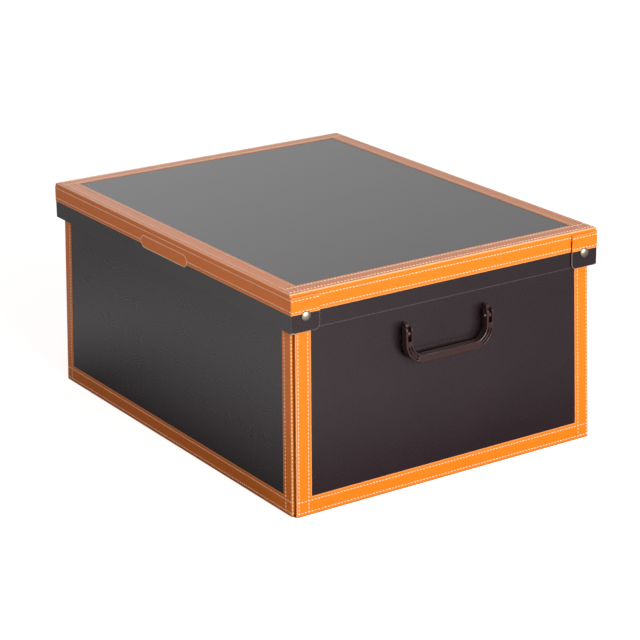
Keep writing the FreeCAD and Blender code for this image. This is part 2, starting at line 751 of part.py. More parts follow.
def cap_profile(sketch):
    """Half a section of the cap: boss below, flat seat, short rim and a domed top."""
    radius, height, rim = of["cap_radius"], of["cap_height"], of["cap_rim"]
    spots = [(ZERO, -of["skin"]), (of["cap_spigot"], -of["skin"]), (of["cap_spigot"], ZERO),
             (radius, ZERO), (radius, rim), (ZERO, height)]
    points = [FreeCAD.Vector(x.number, y.number, 0) for x, y in spots]
    rise = height.number - rim.number
    dome = (radius.number ** 2 + rise ** 2) / (2 * rise)
    middle = FreeCAD.Vector(0, height.number - dome, 0)
    start = math.atan2(rim.number - middle.y, radius.number)
    for first, last in zip(points[:4], points[1:5]):
        sketch.addGeometry(Part.LineSegment(first, last))
    up = FreeCAD.Vector(0, 0, 1)
    sketch.addGeometry(Part.ArcOfCircle(Part.Circle(middle, up, dome), start, math.pi / 2))
    sketch.addGeometry(Part.LineSegment(points[5], points[0]))
    count = len(spots)
    for i in range(count):
        after = (i + 1) % count
        sketch.addConstraint(Sketcher.Constraint("Coincident", i, 2, after, 1))
    for i, (x, y) in enumerate(spots):
        hold(sketch, "DistanceX", i, 1, x)
        hold(sketch, "DistanceY", i, 1, y)
    sketch.addConstraint(Sketcher.Constraint("PointOnObject", 4, 3, -2))


def write_parts():
    """Checks every object and every piece's shape, then writes one file for each node."""
    doc.recompute()
    for thing in doc.Objects:
        if "Invalid" in thing.State or "Error" in thing.State:
            raise RuntimeError(f"{thing.Label} failed: {thing.State}")
    for label, piece in nodes.items():
        shape = piece.Shape
        if shape.isNull() or not shape.isValid() or not shape.Solids:
            raise RuntimeError(f"{label} has no sound shape")
    os.makedirs("parts", exist_ok=True)
    for label, piece in nodes.items():
        piece.Shape.exportStep(f"parts/{label}.step")
        print(label, len(piece.Shape.Solids), round(piece.Shape.Volume, 1))


make_floor()
for side, turn in SIDE_WALLS:
    make_side_wall(side, turn)
    top = wall_top - of["fold_gap"]
    wrap = of["band_wrap"]
    over_board = (board, wall_foot, top)
    over_flap = (wrap, above_floor(wrap), end_top - board / 2)
    frame = side_frame(turn)
    make_wall_trim(f"{side}_side_trim", frame, side_half, wrap, top, (over_board, over_flap))
    make_long_skirt(side, turn)
for end, turn in END_WALLS:
    make_end_wall(end, turn)
    half = half_width - of["end_inset"]
    top = end_top - of["fold_gap"]
    over_board = (board, wall_foot, top)
    make_wall_trim(f"{end}_end_trim", end_frame(turn), half, board, top, (over_board,))
    make_handle_plate(end, turn)
    make_handle_pins(end, turn)
    make_handle(end, turn)
    make_end_skirt(end, turn)
    # Seen from outside, the right end has the front corner on its left and the left end on its right
    front_sign = -1 if turn == RIGHT else 1
    for side, sign in (("front", front_sign), ("back", -front_sign)):
        make_corner_flap(f"corner_flap_{side}_{end}", end, turn, sign)
        make_tab(f"tab_{side}_{end}", turn, sign)
        make_stud(f"tab_{side}_{end}", turn, sign)
make_lid_top()
make_patch()
make_stud_posts()
write_parts()
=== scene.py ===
"""Lidded storage box of dark board with stitched leather-look bands, press-studded lid corners and
a swinging handle on each end. Metres, +Z up, the long side with the patch faces -Y."""

import json
import math

import bmesh
import bpy
from bpy.props import FloatProperty, FloatVectorProperty, IntProperty, PointerProperty
from mathutils import Matrix, Vector


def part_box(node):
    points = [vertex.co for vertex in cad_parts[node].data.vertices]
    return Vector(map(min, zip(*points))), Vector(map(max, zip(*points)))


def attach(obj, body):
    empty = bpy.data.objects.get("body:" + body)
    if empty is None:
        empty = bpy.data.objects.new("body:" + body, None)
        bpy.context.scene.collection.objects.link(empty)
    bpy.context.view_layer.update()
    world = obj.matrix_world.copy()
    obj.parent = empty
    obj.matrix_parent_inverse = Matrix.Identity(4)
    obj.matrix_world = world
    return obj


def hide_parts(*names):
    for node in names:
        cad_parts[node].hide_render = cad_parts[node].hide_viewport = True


bl_info = {
    "name": "Lidded storage box",
    "version": (1, 0, 0),
    "blender": (4, 5, 0),
    "location": "3D View > Sidebar > Storage box",
    "description": "Boards, leather-look bands, stitches, studs and handles of a storage box",
    "category": "Add Mesh",
}

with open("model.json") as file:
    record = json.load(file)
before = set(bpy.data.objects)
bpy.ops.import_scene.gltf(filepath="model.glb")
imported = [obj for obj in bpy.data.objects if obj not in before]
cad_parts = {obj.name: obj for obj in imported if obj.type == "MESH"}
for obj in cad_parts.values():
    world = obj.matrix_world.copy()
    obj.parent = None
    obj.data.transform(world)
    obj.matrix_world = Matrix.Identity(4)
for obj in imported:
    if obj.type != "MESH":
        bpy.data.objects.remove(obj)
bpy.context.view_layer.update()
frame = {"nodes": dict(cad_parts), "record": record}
NODES = frame["nodes"]
MM = 0.001


# Sizes and colours

def length(name, default, text):
    return FloatProperty(name=name, description=text, default=default, min=0.0, unit="LENGTH",
                         precision=5)


def colour(name, default, text):
    return FloatVectorProperty(name=name, description=text, default=default, size=3, min=0.0,
                               max=1.0, subtype="COLOR")


class BoardSettings(bpy.types.PropertyGroup):
    rounding: length("Rounding", 0.0004, "Softness of the cut edges of the board")
    dark: colour("Dark face", (0.0135, 0.0060, 0.0085), "Laminated outer face of the board")
    lining: colour("Lining", (0.020, 0.016, 0.016), "Inner face of the board")
    cut: colour("Cut edge", (0.42, 0.36, 0.35), "Pale board where its cut edge shows")
    # The paler skin on the boards' rounded edges is a painted highlight.
    rubbed: colour("Rubbed edge", (0.075, 0.058, 0.062), "Skin of the board along its edges")


class BandSettings(bpy.types.PropertyGroup):
    width: length("Width", 0.020, "Width of the bands")
    skin: length("Skin", 0.00035, "Height of a band's raised rim over the board")
    field: length("Field", 0.00024, "Height of a band's face over the board")
    wrap: length("Wrap", 0.005, "Part of the long walls' bands that goes round the corner")
    hide: colour("Leather", (0.80, 0.200, 0.004), "Leather-look bands")
    # The rim colour is a painted highlight on the bands' fold crests and raised rims.
    rim: colour("Rim", (0.95, 0.50, 0.28), "Rubbed folds of the bands")


class StitchSettings(bpy.types.PropertyGroup):
    pitch: length("Pitch", 0.004, "From one stitch to the next")
    run: length("Length", 0.0031, "Length of one stitch")
    thread: length("Thread", 0.0013, "Width of the thread")
    near_row: length("Outer row", 0.004, "From a band's outer edge to its first row")
    far_row: length("Inner row", 0.016, "From a band's outer edge to its second row")
    sides: IntProperty(name="Sides", description="Sides of the thread", default=6, min=4, max=12)
    thread_colour: colour("Thread colour", (1.0, 0.76, 0.52), "Sewing thread")


class MetalSettings(bpy.types.PropertyGroup):
    pewter: colour("Stud", (0.50, 0.44, 0.34), "Aged metal of the studs")
    steel: colour("Pin", (0.70, 0.69, 0.67), "Pins and posts")


class HandleSettings(bpy.types.PropertyGroup):
    edge: length("Edge", 0.0008, "Softness of the moulded edges")
    plastic: colour("Plastic", (0.030, 0.0115, 0.0115), "Moulded plastic of the handles")


class StageSettings(bpy.types.PropertyGroup):
    lens: length("Lens", 0.1272, "Focal length, on a 36 mm frame")
    spot: FloatVectorProperty(name="Camera place", description="Where the camera stands",
                              default=(2.0162, -1.3243, 0.9476), size=3, subtype="TRANSLATION",
                              unit="LENGTH")
    turn: FloatVectorProperty(name="Camera turn", description="How the camera is turned",
                              default=(math.radians(70.714), math.radians(0.664),
                                       math.radians(56.396)), size=3, subtype="EULER",
                              unit="ROTATION")
    floor: colour("Floor", (0.82, 0.82, 0.82), "Plain pale floor")
    key: FloatProperty(name="Key", description="Power of the lamp beyond the right end",
                       default=78.0, min=0.0, unit="POWER")
    fill: FloatProperty(name="Fill", description="Power of the lamp over the front side",
                        default=2.2, min=0.0, unit="POWER")
    sky: FloatProperty(name="Sky", description="Strength of the even light all round",
                       default=0.27, min=0.0)


SETTINGS = (
    ("box_board", BoardSettings), ("box_band", BandSettings), ("box_stitch", StitchSettings),
    ("box_metal", MetalSettings), ("box_handle", HandleSettings), ("box_stage", StageSettings),
)

# Small sizes that aren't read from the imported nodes

LEAN = math.radians(1.2)  # of the body's walls, inwards as they rise
FOLD_GAP = 0.05 * MM  # between a wall and the board that is folded against it
TRIM_GAP = 0.3 * MM  # between bands that part when a tab or the lid moves
EDGE_FOLD = 0.7 * MM  # radius of a band over a wall's upright edge or a tab's top
CREASE_GAP = 0.1 * MM  # from a tab's band to the crease that the tab turns on
TUCK = 0.55  # height of a skin that goes under a fold, as a share of its field
GROOVE = 0.72  # height of a sewn groove, as a share of its field
THREAD_RISE = 0.12  # height of a thread's middle over its groove, as a share of its width
CORNER_HIGHLIGHT = 0.25  # strength of the painted highlight on the long walls' corner folds, next to a free fold
TAB_HIGHLIGHT = 0.4  # strength of the painted highlight on the tabs' tops, next to a free fold
END_ROW = 2.2 * MM  # from an end wall's edge to its outer upright row
CORNER_SEAM = 1.8 * MM  # from a long wall's edge to the groove beside its corner
CORNER_ROW = 0.9 * MM  # how far round the corner a long wall's outer row lies
TAB_DROP = 1.0 * MM  # how much lower the rows run on the tabs than on the skirts
ROW_END = 1.5 * MM  # from a level row to the end of its band or to a tab's crease
ROW_TOP = 2.0 * MM  # from an upright row's end to the top of its wall
TAB_ROW_START = 2.5 * MM  # from a tab's free edge to its rows
PATCH_GAP = 0.5 * MM  # from the patch to the row that it breaks
TAB_BEND = 2.5 * MM  # part of a tab's edge that is bent and not cut
CORNER_RISE = 0.6  # how far the row round a corner stands out, as a share of its field
CORNER_TURN = 0.35  # how much that row's stitches face the long side
PATCH_SEAT = 0.15 * MM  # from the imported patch's back to its foot in the leather
SPOT_THICKNESS = 0.2 * MM  # of the rubbed spots
TOP_SPOT_DEPTH = 2.0 * MM  # of those at the lid's corners, under the leather
FOOT_SPOT_RISE = 0.05 * MM  # of those at the tabs' feet, over the board
FOOT_LINE = 0.5 * MM  # width of the painted highlight line along an end skirt's foot
FOOT_LINE_RISE = 0.03 * MM  # of that line over the board


# Where things are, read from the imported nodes

FRONT, RIGHT, BACK, LEFT = 0, 90, 180, 270
END_WALLS = (("right", RIGHT), ("left", LEFT))
SIDE_WALLS = (("front", FRONT), ("back", BACK))
LOW = {name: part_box(name)[0] for name in NODES}
HIGH = {name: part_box(name)[1] for name in NODES}
BODY_OF = {node: body for body, members in frame["record"]["behaviour"]["bodies"].items()
           for node in members}
BOARD = HIGH["base_panel"].z
LID_TOP = HIGH["lid_top_panel"].z
LID_LENGTH = HIGH["lid_top_panel"].x
LID_WIDTH = HIGH["lid_top_panel"].y
TAB_FACE = HIGH["tab_front_right_board"].x
TAB_TOP = HIGH["tab_front_right_board"].z
TAB_FOOT = LOW["tab_front_right_board"].z
TAB_FREE = -HIGH["tab_front_right_board"].y
SKIRT_FOLD = LID_TOP - HIGH["lid_front_trim"].z
BAND_FOOT = LOW["lid_front_trim"].z
HALF_LENGTH = HIGH["base_panel"].x + BOARD + FOLD_GAP
HALF_WIDTH = HIGH["base_panel"].y + BOARD + FOLD_GAP
SIDE_HALF = HIGH["front_side_panel"].x
END_HALF = HIGH["right_end_outer_panel"].y
WALL_TOP = (LID_TOP - BOARD) / math.cos(LEAN)
END_TOP = (LID_TOP - 2 * BOARD) / math.cos(LEAN)
WALL_FOOT = BOARD * math.tan(LEAN)
STUD = (LOW["tab_back_right_stud_cap"] + HIGH["tab_back_right_stud_cap"]) / 2


def wall_frame(turn, distance, tilt=0.0):
    """A wall's own frame: x along it, y up its slope, z outwards from its face."""
    out = Matrix.Rotation(math.radians(turn), 4, "Z") @ Matrix.Translation((0, -distance, 0))
    return out @ Matrix.Rotation(math.pi / 2 - tilt, 4, "X")


def walls(band):
    """Each wall's name, quarter turn, half length, distance and top, and how far its upright
    bands go round their edges."""
    for side, turn in SIDE_WALLS:
        yield f"{side}_side", turn, SIDE_HALF, HALF_WIDTH, WALL_TOP, band.wrap
    for end, turn in END_WALLS:
        yield f"{end}_end", turn, END_HALF, HALF_LENGTH, END_TOP, BOARD


def tab_labels():
    """Each corner tab's body, its end's quarter turn and the sign of its corner in that frame."""
    for end, turn in END_WALLS:
        front = -1 if turn == RIGHT else 1
        yield f"tab_front_{end}", turn, front
        yield f"tab_back_{end}", turn, -front


# Node trees

class Wiring:
    """A node tree, with short ways to add nodes. What feeds an input is a plain value or another
    node's output."""

    def __init__(self, tree):
        self.tree = tree
        tree.nodes.clear()

    def add(self, kind, feeds=None, **settings):
        node = self.tree.nodes.new(kind)
        for name, value in settings.items():
            setattr(node, name, value)
        self.feed(node, feeds or {})
        return node

    def feed(self, node, feeds):
        for name, value in feeds.items():
            if isinstance(value, bpy.types.NodeSocket):
                self.tree.links.new(value, node.inputs[name])
            else:
                node.inputs[name].default_value = value

    def work(self, operation, *values):
        """One step of arithmetic."""
        node = self.add("ShaderNodeMath", dict(enumerate(values)), operation=operation)
        return node.outputs[0]

    def product(self, first, *others):
        for other in others:
            first = self.work("MULTIPLY", first, other)
        return first

    def ramp(self, value, low, high, start, end):
        """Maps a value from low..high to start..end."""
        feeds = {"Value": value, "From Min": low, "From Max": high, "To Min": start, "To Max": end}
        return self.add("ShaderNodeMapRange", feeds).outputs[0]

    def seen_ways(self):
        """The kinds of ray, and 1 for the rays that show a thing: direct, mirrored or through."""
        rays = self.add("ShaderNodeLightPath").outputs
        shown = self.work("MAXIMUM", rays["Is Camera Ray"], rays["Is Glossy Ray"])
        return rays, self.work("MAXIMUM", shown, rays["Is Transmission Ray"])


# Materials

class Finish(Wiring):
    """A material, whose patterns lie on the object's own coordinates."""

    def __init__(self, name):
        self.material = bpy.data.materials.new(name)
        self.material.use_nodes = True
        super().__init__(self.material.node_tree)
        self.surface = self.add("ShaderNodeBsdfPrincipled")
        shown = {"Surface": self.surface.outputs["BSDF"]}
        self.output = self.add("ShaderNodeOutputMaterial", shown)
        self.place = self.add("ShaderNodeTexCoord").outputs["Object"]

    def noise(self, scale, detail=3.0, roughness=0.5):
        feeds = {"Vector": self.place, "Scale": scale, "Detail": detail, "Roughness": roughness}
        return self.add("ShaderNodeTexNoise", feeds).outputs["Fac"]

    def blend(self, factor, *colours):
        """Mixes two colours, each a plain one or another node's output."""
        first, second = (value if isinstance(value, bpy.types.NodeSocket) else (*value, 1.0)
                         for value in colours)
        node = self.add("ShaderNodeMix", {0: factor, 6: first, 7: second}, data_type="RGBA")
        return node.outputs[2]

    def bump(self, height, distance, strength, after=None):
        feeds = {"Height": height, "Distance": distance, "Strength": strength}
        if after:
            feeds["Normal"] = after
        return self.add("ShaderNodeBump", feeds).outputs["Normal"]

    def done(self, **feeds):
        """Feeds the shader and gives the material."""
        self.feed(self.surface, {name.replace("_", " "): value for name, value in feeds.items()})
        return self.material


def shade(tone, factor):
    return [value * factor for value in tone]


def board_material(name, face, rough, specular):
    """Laminated card: a dark skin with a very fine linen press, soft sheen and faint blotches."""
    made = Finish(name)
    blotch = made.ramp(made.noise(9.0, 4.0), 0.3, 0.7, 0.0, 1.0)
    paler = [min(1.0, value * 1.25 + 0.001) for value in face]
    fine = made.noise(1400.0, 2.0)
    return made.done(
        Base_Color=made.blend(blotch, face, paler),
        Roughness=made.ramp(fine, 0.3, 0.7, rough - 0.04, rough + 0.04),
        Specular_IOR_Level=specular,
        Normal=made.bump(fine, 0.03 * MM, 0.25))


def cut_material(name, tone):
    """The grey core of the board where a cut edge shows."""
    made = Finish(name)
    fibres = made.noise(900.0, 4.0, 0.7)
    return made.done(
        Base_Color=made.blend(fibres, shade(tone, 0.55), tone),
        Roughness=0.85,
        Normal=made.bump(fibres, 0.06 * MM, 0.4))


def leather_material(name, hide, rim):
    """Grained leather-look skin, painted paler along its rims and folds as a highlight."""
    made = Finish(name)
    # The rim attribute is the share of painted highlight: the rim colour mixed in on fold crests
    # and raised rims.
    rubbed = made.add("ShaderNodeAttribute", attribute_name="rim").outputs["Fac"]
    field = made.blend(made.noise(35.0), shade(hide, 0.93), hide)
    cells = made.add("ShaderNodeTexVoronoi", {"Vector": made.place, "Scale": 1500.0})
    pebble = cells.outputs["Distance"]
    grain = made.bump(pebble, 0.05 * MM, 0.2)
    return made.done(
        Base_Color=made.blend(rubbed, field, rim),
        Roughness=made.ramp(pebble, 0.0, 0.6, 0.28, 0.36),
        Specular_IOR_Level=0.1,
        Coat_Weight=1.0,
        Coat_Roughness=0.32,
        Coat_IOR=1.28,
        Normal=made.bump(made.noise(2600.0, 2.0), 0.02 * MM, 0.2, grain))


def thread_material(name, tone):
    """Twisted sewing thread."""
    made = Finish(name)
    return made.done(
        Base_Color=made.blend(made.noise(4000.0, 1.0), shade(tone, 0.72), tone),
        Roughness=0.32,
        Specular_IOR_Level=0.9,
        Sheen_Weight=0.4,
        Sheen_Roughness=0.4)


def metal_material(name, tone, rough):
    """Aged metal with a cloudy tarnish."""
    made = Finish(name)
    clouds = made.noise(420.0, 5.0, 0.6)
    return made.done(
        Base_Color=made.blend(clouds, shade(tone, 0.45), tone),
        Metallic=1.0,
        Roughness=made.ramp(clouds, 0.3, 0.7, rough + 0.1, rough),
        Normal=made.bump(clouds, 0.1 * MM, 0.2))


def plastic_material(name, tone):
    """Moulded plastic with a fine spark-eroded skin and a soft gloss."""
    made = Finish(name)
    flow = made.noise(60.0)
    return made.done(
        Base_Color=made.blend(flow, tone, shade(tone, 1.35)),
        Roughness=made.ramp(flow, 0.3, 0.7, 0.12, 0.18),
        Normal=made.bump(made.noise(1800.0, 2.0), 0.03 * MM, 0.3))


MATERIALS = {}


def finish_of(name):
    """The material of that name, made once from the scene's settings. A board's colour is followed
    by its roughness and its specular level, and a metal's by its roughness."""
    if name not in MATERIALS:
        scene = bpy.context.scene
        board, band, metal = scene.box_board, scene.box_band, scene.box_metal
        maker, *values = {
            "board": (board_material, board.dark, 0.27, 0.56),
            "inner_board": (board_material, board.lining, 0.6, 0.4),
            # Board for the rounded edges: paler, as a painted highlight.
            "rubbed_board": (board_material, board.rubbed, 0.45, 0.5),
            "cut_board": (cut_material, board.cut),
            "leatherette": (leather_material, band.hide, band.rim),
            "thread": (thread_material, scene.box_stitch.thread_colour),
            "stud_metal": (metal_material, metal.pewter, 0.3),
            "pin_metal": (metal_material, metal.steel, 0.3),
            "handle_plastic": (plastic_material, scene.box_handle.plastic),
        }[name]
        MATERIALS[name] = maker(name, *values)
    return MATERIALS[name]


# Meshes

SHARP = math.radians(35)  # edges that turn by this much or more shade as sharp


def add_object(name, data):
    made = bpy.data.objects.new(name, data)
    bpy.context.scene.collection.objects.link(made)
    return made


def settled_mesh(piece, layers):
    """The mesh that an object's modifiers give, with or without its extra layers."""
    bpy.context.view_layer.update()
    graph = bpy.context.evaluated_depsgraph_get()
    return bpy.data.meshes.new_from_object(piece.evaluated_get(graph),
                                           preserve_all_data_layers=layers, depsgraph=graph)


def new_piece(name, shape, body, materials):
    """Turns a bmesh into an object that rides on a body; shape is used up."""
    mesh = bpy.data.meshes.new(name)
    for edge in shape.edges:
        edge.smooth = len(edge.link_faces) == 2 and edge.calc_face_angle(0.0) < SHARP
    for face in shape.faces:
        face.smooth = True
    shape.to_mesh(mesh)
    shape.free()
    for material in materials:
        mesh.materials.append(finish_of(material))
    piece = add_object(name, mesh)
    even_shading(piece)
    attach(piece, body)
    return piece


def even_shading(piece):
    """Keeps the wide faces flat, so that only the narrow rounded ones shade as rounded."""
    modifier = piece.modifiers.new("even", "WEIGHTED_NORMAL")
    modifier.keep_sharp = True
    modifier.weight = 100
    before, settled = piece.data, settled_mesh(piece, layers=True)
    piece.modifiers.clear()
    piece.data = settled
    bpy.data.meshes.remove(before)
    settled.name = piece.name


def repaint(node, finish):
    """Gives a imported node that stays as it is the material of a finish."""
    NODES[node].data.materials.clear()
    NODES[node].data.materials.append(finish_of(finish))


def merged_copy(node):
    """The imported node's triangles joined up again into clean faces."""
    shape = bmesh.new()
    shape.from_mesh(NODES[node].data)
    bmesh.ops.remove_doubles(shape, verts=shape.verts, dist=0.001 * MM)
    bmesh.ops.dissolve_limit(shape, angle_limit=math.radians(0.2), verts=shape.verts,
                             edges=shape.edges)
    return shape


def soften(shape, offset, segments=2, angle=30, material=-1):
    """Rounds the sharp outer edges a little."""
    sharp = [edge for edge in shape.edges
             if len(edge.link_faces) == 2
             and edge.calc_face_angle_signed(0.0) > math.radians(angle)]
    if sharp:
        bmesh.ops.bevel(shape, geom=sharp, offset=offset, offset_type="OFFSET", segments=segments,
                        profile=0.5, affect="EDGES", clamp_overlap=True, material=material)


def rim_layer(shape):
    return shape.verts.layers.float.get("rim") or shape.verts.layers.float.new("rim")


def sweep(shape, place, path, profile, closed=False):
    """Sweeps a band's section along straight runs with mitred corners. The path holds the runs'
    outer edges as (x, y) in the place's frame, and the band lies to the left of its direction.
    The section's points are (in from the outer edge, height, share of painted highlight)."""
    rim = rim_layer(shape)
    count = len(path)
    spots = [Vector(point) for point in path]
    runs = []
    for i in range(count if closed else count - 1):
        run = (spots[(i + 1) % count] - spots[i]).normalized()
        runs.append(Vector((-run.y, run.x)))
    rows = []
    for i, spot in enumerate(spots):
        before = runs[i - 1] if closed or i > 0 else runs[0]
        after = runs[i % len(runs)] if closed or i < count - 1 else runs[-1]
        mitre = (before + after) / (1.0 + before.dot(after))
        row = []
        for inward, height, rubbed in profile:
            flat = spot + mitre * inward
            vert = shape.verts.new(place @ Vector((flat.x, flat.y, height)))
            vert[rim] = rubbed
            row.append(vert)
        rows.append(row)
    for i in range(count if closed else count - 1):
        first, second = rows[i], rows[(i + 1) % count]
        for j in range(len(profile) - 1):
            shape.faces.new((first[j], first[j + 1], second[j + 1], second[j]))
    if not closed:
        shape.faces.new(rows[0][::-1])
        shape.faces.new(rows[-1])


def ring_wall(shape, first, second, material=0):
    """Joins two rings of as many corners with a wall of faces."""
    for i in range(len(first)):
        j = (i + 1) % len(first)
        face = shape.faces.new((first[i], first[j], second[j], second[i]))
        face.material_index = material


def tidy(shape):
    """Welds doubles, drops empty faces and turns every face outwards."""
    bmesh.ops.remove_doubles(shape, verts=shape.verts, dist=0.002 * MM)
    bmesh.ops.dissolve_degenerate(shape, dist=0.001 * MM, edges=shape.edges)
    bmesh.ops.recalc_face_normals(shape, faces=shape.faces)


# Sections of a band. Their points are (in from the outer edge, height, share of painted highlight).

def rounded_rim(inward, height, field, sign):
    """From the foot of a band's free edge over its raised rim to its field; the rim carries a
    painted highlight.
    """
    steps = ((0.0, 0.0, 0.0), (0.0, 0.55, 0.1), (0.12, 0.85, 0.25), (0.35, 1.0, 0.3),
             (0.8, 1.0, 0.25), (1.15, 0.86, 0.1), (1.5, field / height, 0.0))
    return [(inward + across * MM * sign, height * up, rubbed) for across, up, rubbed in steps]


def fold(radius, field, steps=5):
    """Round a folded edge of that radius, from the side face up onto the top face, with a painted
    highlight strongest at its crest.
    """
    reach = radius + field
    turned = []
    for step in range(steps):
        angle = math.radians(90 * step / (steps - 1))
        turned.append((radius - reach * math.cos(angle), reach * math.sin(angle) - radius,
                       math.sin(2 * angle)))
    return turned


def seam(middle, field):
    """A shallow sewn groove in a band's field."""
    steps = ((-0.9, 1.0), (-0.5, GROOVE), (0.5, GROOVE), (0.9, 1.0))
    return [(middle + across * MM, field * up, 0.0) for across, up in steps]


# Pieces

CORNERS = [f"{side}_{end}" for side, _ in SIDE_WALLS for end, _ in END_WALLS]
BOARDS = [
    "base_panel", *[f"{side}_side_panel" for side, _ in SIDE_WALLS],
    *[f"{end}_end_{layer}" for layer in ("outer_panel", "inner_panel", "top_strip")
      for end, _ in END_WALLS],
    "lid_top_panel", *[f"lid_{wall}_skirt" for wall, _ in SIDE_WALLS + END_WALLS],
    *[f"tab_{corner}_board" for corner in CORNERS],
]
LININGS = [*[f"corner_flap_{corner}" for corner in CORNERS], "bottom_insert"]


class BOX_OT_boards(bpy.types.Operator):
    """Softens the boards' edges and paints a highlight on their rounding, shows their pale core at
    the tabs and lines the inside
    """
    bl_idname = "storage_box.boards"
    bl_label = "Boards"

    def execute(self, context):
        settings = context.scene.box_board
        finishes = ["board", "rubbed_board", "cut_board"]
        # Bevel faces get the paler board, a painted highlight; at the tabs they show the pale cut
        # core.
        rubbed, cut = 1, 2
        for name in BOARDS:
            shape = merged_copy(name)
            soften(shape, settings.rounding, material=rubbed)
            for face in shape.faces:
                if face.material_index == rubbed and self.cut_open(name, face):
                    face.material_index = cut
            piece = new_piece(f"{name}_card", shape, BODY_OF[name], finishes)
            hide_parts(name)
        for name in LININGS:
            repaint(name, "inner_board")
        return {"FINISHED"}

    def cut_open(self, name, face):
        """True where the board's pale core shows: round the tabs, except at their folds."""
        return name.startswith("tab_") and abs(face.calc_center_median().y) < LID_WIDTH - TAB_BEND


def wall_band(place, half, top, depth, width, rows, band):
    """Bands round a wall's two upright edges and its foot, folded round the upright edges to a
    depth. The rows are where each seam runs, in from the wall's edge: upright ones, level ones."""
    shape = bmesh.new()
    field = band.field
    # The fold crest's painted highlight is weaker where a long wall's band turns its corner.
    highlight_scale = CORNER_HIGHLIGHT if depth > BOARD else 1.0
    turned = [(inward, height, rubbed * highlight_scale) for inward, height, rubbed in fold(EDGE_FOLD, field)]
    upright, level = ([(0.0, -depth, 0.0), (-field, -depth, 0.0)] + turned for _ in range(2))
    folded = len(upright) - 1
    for section, seams, reach in ((upright, rows[0], width), (level, rows[1], band.width)):
        for middle in seams:
            section.extend(seam(middle, field))
        section.extend(rounded_rim(reach, band.skin, field, -1)[::-1])
    lean = math.sin(LEAN)
    rim = rim_layer(shape)
    corners = []
    for sign, high in ((-1, True), (-1, False), (1, False), (1, True)):
        corner = []
        for (inward, height, rubbed), (up, _, _) in zip(upright, level):
            lowest = max(WALL_FOOT + max(up, 0.0), -height * math.tan(LEAN))
            y = top if high else lowest
            vert = shape.verts.new(place @ Vector((sign * (half - y * lean - inward), y, height)))
            vert[rim] = rubbed
            corner.append(vert)
        corners.append(corner)
    for along_foot, first, second in zip((False, True, False), corners[:-1], corners[1:]):
        for j in range(folded if along_foot else 0, len(upright) - 1):
            shape.faces.new((first[j], first[j + 1], second[j + 1], second[j]))
    tidy(shape)
    return shape


class BOX_OT_bands(bpy.types.Operator):
    """Lays the leather-look bands with their raised rims and sewn grooves"""
    bl_idname = "storage_box.bands"
    bl_label = "Leather-look bands"

    def execute(self, context):
        band, stitch = context.scene.box_band, context.scene.box_stitch
        self.body_bands(band, stitch)
        self.lid_bands(band, stitch)
        self.tab_bands(band, stitch)
        return {"FINISHED"}

    def body_bands(self, band, stitch):
        for wall, turn, half, distance, top, wrap in walls(band):
            place = wall_frame(turn, distance, LEAN)
            width = band.width - wrap
            outer = END_ROW if wrap == BOARD else CORNER_SEAM
            rows = ((outer, width - stitch.near_row), (stitch.near_row, stitch.far_row))
            shape = wall_band(place, half, top - FOLD_GAP, wrap, width, rows, band)
            piece = new_piece(f"{wall}_leather", shape, "box", ["leatherette"])
            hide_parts(f"{wall}_trim")

    def lid_bands(self, band, stitch):
        """One skin over the lid's edge: flat on top, round the fold and down the skirts."""
        shape = bmesh.new()
        field = band.field
        section = [(-field * TUCK, TAB_TOP + TRIM_GAP - LID_TOP, 0.0)]
        section += fold(SKIRT_FOLD, field, steps=7)
        section += seam(stitch.near_row, field) + seam(stitch.far_row, field)
        section += rounded_rim(band.width, band.skin, field, -1)[::-1]
        corners = [(LID_LENGTH * x, LID_WIDTH * y) for x, y in ((-1, -1), (1, -1), (1, 1), (-1, 1))]
        sweep(shape, Matrix.Translation((0, 0, LID_TOP)), corners, section, closed=True)
        for walls_there, distance, reach in ((SIDE_WALLS, LID_WIDTH, TAB_FACE),
                                             (END_WALLS, LID_LENGTH, TAB_FREE - TRIM_GAP)):
            for _, turn in walls_there:
                self.strip(shape, wall_frame(turn, distance), reach, band, stitch)
        tidy(shape)
        piece = new_piece("lid_leather", shape, "lid", ["leatherette"])
        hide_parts("lid_top_trim", "lid_front_trim", "lid_back_trim", "lid_right_trim",
                    "lid_left_trim")

    def strip(self, shape, place, reach, band, stitch):
        """The lower part of a skirt's band, with its rim along the foot and its skin drawn in
        under the fold of the lid's edge."""
        field = band.field
        depth = TAB_TOP + TRIM_GAP - BAND_FOOT
        drawn_in = ((15.1 * MM, 1.0), (15.5 * MM, 0.5), (16.5 * MM, 0.2), (depth, TUCK))
        section = rounded_rim(0.0, band.skin, field, 1)
        section += seam(stitch.near_row, field)
        section += [(up, field * share, 0.0) for up, share in drawn_in]
        section += [(depth, 0.0, 0.0)]
        sweep(shape, place, [(-reach, BAND_FOOT), (reach, BAND_FOOT)], section)

    def tab_bands(self, band, stitch):
        field = band.field
        depth = TAB_TOP - BAND_FOOT
        section = rounded_rim(0.0, band.skin, field, 1)
        for row_height in (stitch.near_row, stitch.far_row):
            section += seam(row_height - TAB_DROP, field)
        # The tab's top fold and wrapped edge carry a weaker painted highlight.
        section += [(depth - inward, height, rubbed * TAB_HIGHLIGHT)
                    for inward, height, rubbed in fold(EDGE_FOLD, field)[::-1]]
        section += [(depth + field, -BOARD, 0.2), (depth, -BOARD, 0.0)]
        for label, turn, sign in tab_labels():
            shape = bmesh.new()
            ends = sorted((sign * TAB_FREE, sign * (LID_WIDTH - CREASE_GAP)))
            sweep(shape, wall_frame(turn, TAB_FACE), [(x, BAND_FOOT) for x in ends], section)
            tidy(shape)
            piece = new_piece(f"{label}_leather", shape, label, ["leatherette"])
            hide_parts(f"{label}_trim")


# Stitches

